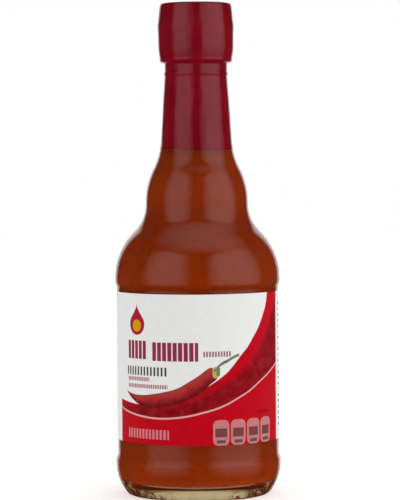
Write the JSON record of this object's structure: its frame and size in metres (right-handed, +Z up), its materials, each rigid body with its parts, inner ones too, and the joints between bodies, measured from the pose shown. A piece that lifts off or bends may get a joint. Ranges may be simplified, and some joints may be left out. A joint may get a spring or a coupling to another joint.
{
  "type": "hot sauce bottle",
  "caption": "Waisted clear glass bottle filled with dark red-brown hot sauce, with a wrap-round paper label and a cap under a dark red shrink sleeve.",
  "frame": {"origin": "middle of the base, on the surface the bottle stands on", "axes": "+Z up along the bottle's axis towards the cap; -Y is the middle of the label's front"},
  "size_m": [0.069, 0.069, 0.2048],
  "materials": {
    "glass": "clear container glass, fire polished",
    "sauce": "thick opaque sauce, wet",
    "cap": "moulded polypropylene",
    "sleeve": "printed shrink film, gloss",
    "label": "coated paper, printed, semi-gloss"
  },
  "bodies": {
    "root": {"glass_bottle": "glass", "hot_sauce": "sauce", "cap": "cap", "shrink_sleeve": "sleeve", "paper_label": "label"}
  },
  "joints": []
}
